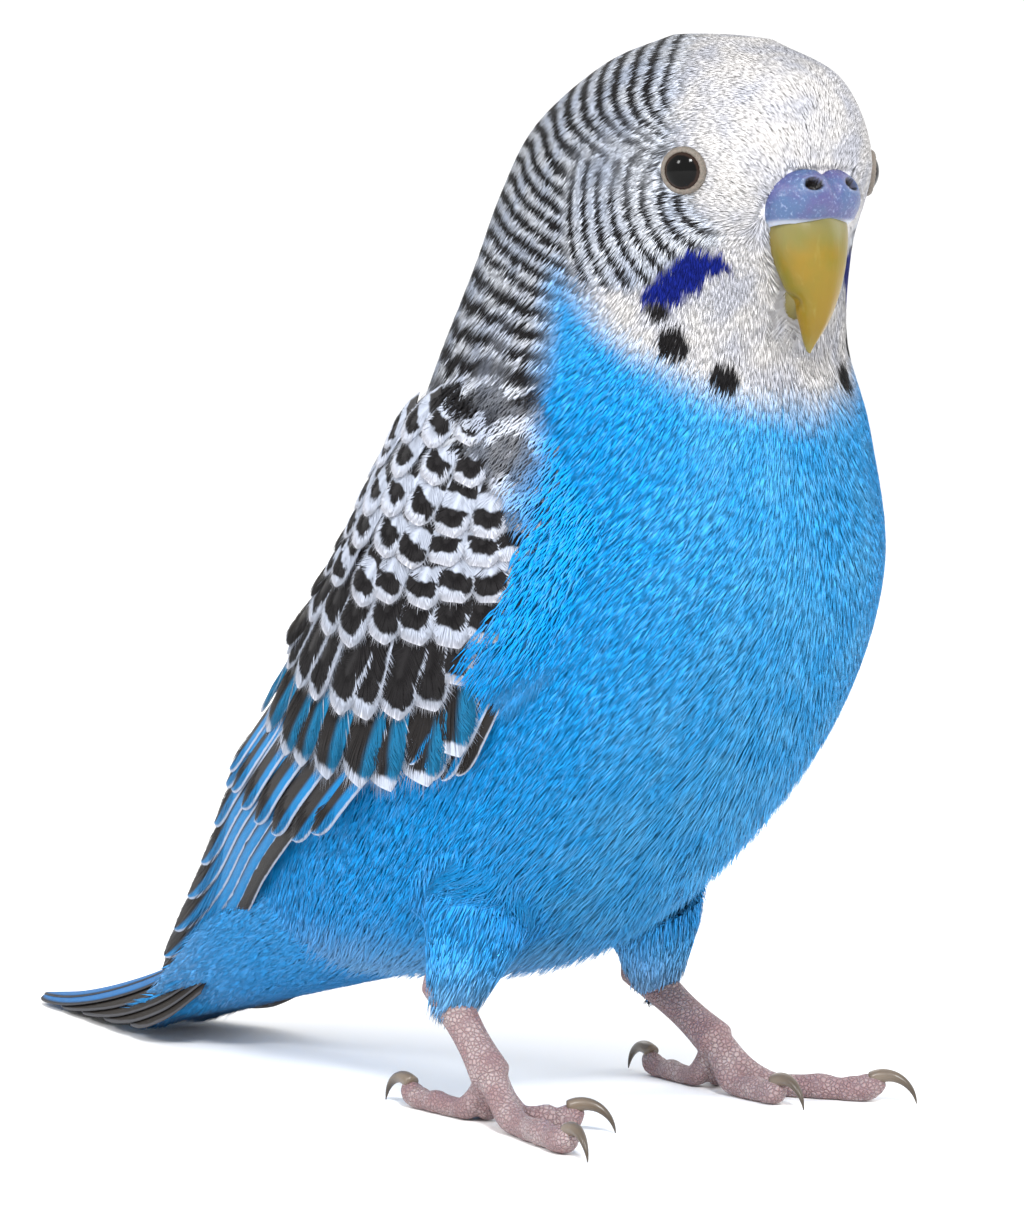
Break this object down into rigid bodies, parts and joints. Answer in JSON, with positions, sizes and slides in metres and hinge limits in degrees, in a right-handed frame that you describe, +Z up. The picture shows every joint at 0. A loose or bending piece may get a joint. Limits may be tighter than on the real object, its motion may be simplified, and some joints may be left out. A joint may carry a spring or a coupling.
{
  "type": "budgerigar model",
  "caption": "Life-size still model of a blue budgerigar that stands on both feet, wings folded and tail laid along the floor.",
  "frame": {"origin": "on the floor, under the middle of the bird's bounding box", "axes": "+Z up; the bird faces -Y, so its tail points to +Y and its left side is at +X"},
  "size_m": [0.0475, 0.1198, 0.0977],
  "materials": {
    "blue_plumage": "matte",
    "barred_plumage": "matte",
    "white_plumage": "matte",
    "wing_plumage": "satin",
    "tail_plumage": "satin",
    "cere": "satin",
    "bill": "gloss",
    "eye": "gloss",
    "foot_skin": "matte",
    "claw": "satin"
  },
  "bodies": {
    "root": {"torso": "blue_plumage", "neck": "barred_plumage", "head": "white_plumage", "cere": "cere", "upper_bill": "bill", "lower_bill": "bill", "eye_left": "eye", "eye_right": "eye", "wing_left": "wing_plumage", "wing_right": "wing_plumage", "tail": "tail_plumage", "thigh_left": "blue_plumage", "thigh_right": "blue_plumage", "foot_left": "foot_skin", "foot_right": "foot_skin", "claw_left_1": "claw", "claw_left_2": "claw", "claw_left_3": "claw", "claw_left_4": "claw", "claw_right_1": "claw", "claw_right_2": "claw", "claw_right_3": "claw", "claw_right_4": "claw"}
  },
  "joints": []
}
